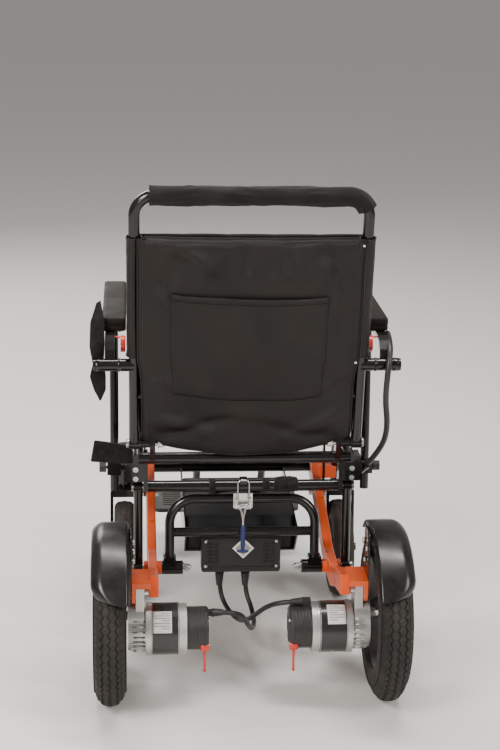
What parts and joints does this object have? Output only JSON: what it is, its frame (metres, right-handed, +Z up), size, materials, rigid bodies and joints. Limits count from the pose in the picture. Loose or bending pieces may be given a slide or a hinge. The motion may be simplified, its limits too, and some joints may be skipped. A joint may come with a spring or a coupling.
{
  "type": "folding power wheelchair",
  "caption": "Folding power wheelchair with geared hub drives, swivelling front casters, a reclining-post backrest, flip-up armrests, a joystick controller and a flip-up footplate.",
  "frame": {"origin": "middle of the footprint, on the floor", "axes": "+X to the user's right, +Y forward, +Z up"},
  "size_m": [0.561, 0.959, 0.919],
  "materials": {
    "frame_black": "gloss",
    "arm_orange": "satin",
    "plated_steel": "satin",
    "cast_aluminium": "cast",
    "motor_grey": "satin",
    "case_plastic": "matte",
    "red_plastic": "gloss",
    "blue_plastic": "matte",
    "button_grey": "matte",
    "tyre_rubber": "matte",
    "wheel_grey": "matte",
    "black_canvas": "matte",
    "pad_black": "matte",
    "cable_black": "matte"
  },
  "bodies": {
    "chassis": {"side_arms": "arm_orange", "rear_hoop": "frame_black", "front_frame": "frame_black", "chassis_bolts": "plated_steel", "battery_pack": "case_plastic", "controller_box": "case_plastic", "gearboxes": "cast_aluminium", "motor_cans": "motor_grey", "brake_caps": "case_plastic", "fenders": "frame_black", "caster_housings": "frame_black", "latch_base": "plated_steel", "motor_cable_right": "cable_black", "motor_cable_left": "cable_black"},
    "rear_links": {"rear_links": "frame_black"},
    "front_links": {"front_links": "frame_black"},
    "seat": {"seat_frame": "frame_black", "seat_bolts": "plated_steel", "seat_cushion": "black_canvas", "seat_strap": "black_canvas", "joystick_cable": "cable_black"},
    "backrest": {"backrest_frame": "frame_black", "handle_sleeve": "black_canvas", "back_canvas": "black_canvas"},
    "footplate": {"footplate": "case_plastic"},
    "latch_lever": {"latch_lever": "plated_steel", "latch_grip": "blue_plastic"},
    "latch_bail": {"latch_bail": "plated_steel"},
    "stick_ring": {"stick_ring": "case_plastic"},
    "stick": {"stick": "case_plastic"},
    "power_button": {"power_button": "button_grey"},
    "horn_button": {"horn_button": "button_grey"},
    "wheel_right": {"wheel_tyre_right": "tyre_rubber", "wheel_rim_right": "wheel_grey"},
    "fork_right": {"caster_fork_right": "frame_black"},
    "caster_right": {"caster_tyre_right": "tyre_rubber", "caster_hub_right": "wheel_grey"},
    "brake_lever_right": {"brake_lever_right": "red_plastic"},
    "rest_pin_right": {"rest_pin_right": "frame_black"},
    "armrest_right": {"arm_bar_right": "frame_black", "arm_pad_right": "pad_black", "joystick_housing": "case_plastic"},
    "rest_lock_right": {"rest_lock_right": "red_plastic"},
    "arm_post_right": {"arm_post_right": "frame_black"},
    "post_clamp_right": {"post_clamp_right": "frame_black"},
    "clamp_knob_right": {"clamp_knob_right": "case_plastic"},
    "wheel_left": {"wheel_tyre_left": "tyre_rubber", "wheel_rim_left": "wheel_grey"},
    "fork_left": {"caster_fork_left": "frame_black"},
    "caster_left": {"caster_tyre_left": "tyre_rubber", "caster_hub_left": "wheel_grey"},
    "brake_lever_left": {"brake_lever_left": "red_plastic"},
    "rest_pin_left": {"rest_pin_left": "frame_black"},
    "armrest_left": {"arm_bar_left": "frame_black", "arm_pad_left": "pad_black", "lap_belt": "black_canvas"},
    "rest_lock_left": {"rest_lock_left": "red_plastic"},
    "arm_post_left": {"arm_post_left": "frame_black"},
    "post_clamp_left": {"post_clamp_left": "frame_black"},
    "clamp_knob_left": {"clamp_knob_left": "case_plastic"}
  },
  "joints": [
    {"name": "frame_fold", "type": "hinge", "parent": "chassis", "child": "rear_links", "pos_m": [0, -0.1405, 0.175], "axis": [-1, 0, 0], "range_deg": [0, 45]},
    {"name": "seat_level", "type": "hinge", "parent": "rear_links", "child": "seat", "pos_m": [0, -0.1305, 0.335], "axis": [-1, 0, 0], "range_deg": [-45, 0]},
    {"name": "front_link_turn", "type": "hinge", "parent": "chassis", "child": "front_links", "pos_m": [0, 0.1095, 0.23678], "axis": [-1, 0, 0], "range_deg": [0, 45]},
    {"name": "backrest_fold", "type": "hinge", "parent": "seat", "child": "backrest", "pos_m": [0, -0.1755, 0.435], "axis": [-1, 0, 0], "range_deg": [0, 64]},
    {"name": "footplate_flip", "type": "hinge", "parent": "chassis", "child": "footplate", "pos_m": [0, 0.3415, 0.128], "axis": [1, 0, 0], "range_deg": [0, 85]},
    {"name": "latch_open", "type": "hinge", "parent": "chassis", "child": "latch_lever", "pos_m": [0, -0.1415, 0.298], "axis": [-1, 0, 0], "range_deg": [0, 100]},
    {"name": "bail_swing", "type": "hinge", "parent": "latch_lever", "child": "latch_bail", "pos_m": [0, -0.1495, 0.298], "axis": [-1, 0, 0], "range_deg": [-115, 0]},
    {"name": "wheel_right_spin", "type": "hinge", "parent": "chassis", "child": "wheel_right", "pos_m": [0.248, -0.3205, 0.159], "axis": [1, 0, 0], "continuous": true},
    {"name": "fork_right_swivel", "type": "hinge", "parent": "chassis", "child": "fork_right", "pos_m": [0.224, 0.1795, 0.25], "axis": [0, 0, 1], "continuous": true},
    {"name": "caster_right_spin", "type": "hinge", "parent": "fork_right", "child": "caster_right", "pos_m": [0.224, 0.1395, 0.1], "axis": [1, 0, 0], "continuous": true},
    {"name": "brake_lever_right_turn", "type": "hinge", "parent": "chassis", "child": "brake_lever_right", "pos_m": [0.08, -0.3455, 0.108], "axis": [-1, 0, 0], "range_deg": [0, 60]},
    {"name": "rest_level_right", "type": "hinge", "parent": "backrest", "child": "rest_pin_right", "pos_m": [0.229, -0.19811, 0.58996], "axis": [-1, 0, 0], "range_deg": [-64, 0]},
    {"name": "armrest_right_flip", "type": "hinge", "parent": "rest_pin_right", "child": "armrest_right", "pos_m": [0.229, -0.19811, 0.58996], "axis": [1, 0, 0], "range_deg": [0, 95]},
    {"name": "arm_post_right_tilt", "type": "hinge", "parent": "armrest_right", "child": "arm_post_right", "pos_m": [0.242, -0.0205, 0.616], "axis": [-1, 0, 0], "range_deg": [0, 35.52]},
    {"name": "post_clamp_right_tilt", "type": "hinge", "parent": "seat", "child": "post_clamp_right", "pos_m": [0.242, -0.0475, 0.345], "axis": [-1, 0, 0], "range_deg": [0, 35.52]},
    {"name": "clamp_knob_right_turn", "type": "hinge", "parent": "post_clamp_right", "child": "clamp_knob_right", "pos_m": [0.242, -0.0475, 0.345], "axis": [1, 0, 0], "range_deg": [0, 360]},
    {"name": "rest_lock_right_press", "type": "slide", "parent": "armrest_right", "child": "rest_lock_right", "axis": [1, 0, 0], "range_m": [0, 0.003], "stiffness_N_per_m": 400},
    {"name": "wheel_left_spin", "type": "hinge", "parent": "chassis", "child": "wheel_left", "pos_m": [-0.248, -0.3205, 0.159], "axis": [1, 0, 0], "continuous": true},
    {"name": "fork_left_swivel", "type": "hinge", "parent": "chassis", "child": "fork_left", "pos_m": [-0.224, 0.1795, 0.25], "axis": [0, 0, 1], "continuous": true},
    {"name": "caster_left_spin", "type": "hinge", "parent": "fork_left", "child": "caster_left", "pos_m": [-0.224, 0.1395, 0.1], "axis": [1, 0, 0], "continuous": true},
    {"name": "brake_lever_left_turn", "type": "hinge", "parent": "chassis", "child": "brake_lever_left", "pos_m": [-0.08, -0.3455, 0.108], "axis": [-1, 0, 0], "range_deg": [0, 60]},
    {"name": "rest_level_left", "type": "hinge", "parent": "backrest", "child": "rest_pin_left", "pos_m": [-0.229, -0.19811, 0.58996], "axis": [-1, 0, 0], "range_deg": [-64, 0]},
    {"name": "armrest_left_flip", "type": "hinge", "parent": "rest_pin_left", "child": "armrest_left", "pos_m": [-0.229, -0.19811, 0.58996], "axis": [1, 0, 0], "range_deg": [0, 95]},
    {"name": "arm_post_left_tilt", "type": "hinge", "parent": "armrest_left", "child": "arm_post_left", "pos_m": [-0.242, -0.0205, 0.616], "axis": [-1, 0, 0], "range_deg": [0, 35.52]},
    {"name": "post_clamp_left_tilt", "type": "hinge", "parent": "seat", "child": "post_clamp_left", "pos_m": [-0.242, -0.0475, 0.345], "axis": [-1, 0, 0], "range_deg": [0, 35.52]},
    {"name": "clamp_knob_left_turn", "type": "hinge", "parent": "post_clamp_left", "child": "clamp_knob_left", "pos_m": [-0.242, -0.0475, 0.345], "axis": [-1, 0, 0], "range_deg": [0, 360]},
    {"name": "rest_lock_left_press", "type": "slide", "parent": "armrest_left", "child": "rest_lock_left", "axis": [-1, 0, 0], "range_m": [0, 0.003], "stiffness_N_per_m": 400},
    {"name": "stick_fore_aft", "type": "hinge", "parent": "armrest_right", "child": "stick_ring", "pos_m": [0.206, 0.2145, 0.6733], "axis": [1, 0, 0], "range_deg": [-12, 12], "stiffness_Nm_per_rad": 0.6},
    {"name": "stick_side", "type": "hinge", "parent": "stick_ring", "child": "stick", "pos_m": [0.206, 0.2145, 0.6733], "axis": [0, 1, 0], "range_deg": [-12, 12], "stiffness_Nm_per_rad": 0.6},
    {"name": "power_button_press", "type": "slide", "parent": "armrest_right", "child": "power_button", "axis": [0, 0, -1], "range_m": [0, 0.001], "stiffness_N_per_m": 600},
    {"name": "horn_button_press", "type": "slide", "parent": "armrest_right", "child": "horn_button", "axis": [0, 0, -1], "range_m": [0, 0.001], "stiffness_N_per_m": 600}
  ],
  "couplings": [
    {"joint": "seat_level", "follows": "frame_fold", "ratio": -1},
    {"joint": "front_link_turn", "follows": "frame_fold", "ratio": 1},
    {"joint": "bail_swing", "follows": "latch_open", "ratio": -1.15},
    {"joint": "rest_level_right", "follows": "backrest_fold", "ratio": -1},
    {"joint": "arm_post_right_tilt", "follows": "backrest_fold", "ratio": 0.555},
    {"joint": "post_clamp_right_tilt", "follows": "backrest_fold", "ratio": 0.555},
    {"joint": "rest_level_left", "follows": "backrest_fold", "ratio": -1},
    {"joint": "arm_post_left_tilt", "follows": "backrest_fold", "ratio": 0.555},
    {"joint": "post_clamp_left_tilt", "follows": "backrest_fold", "ratio": 0.555}
  ]
}
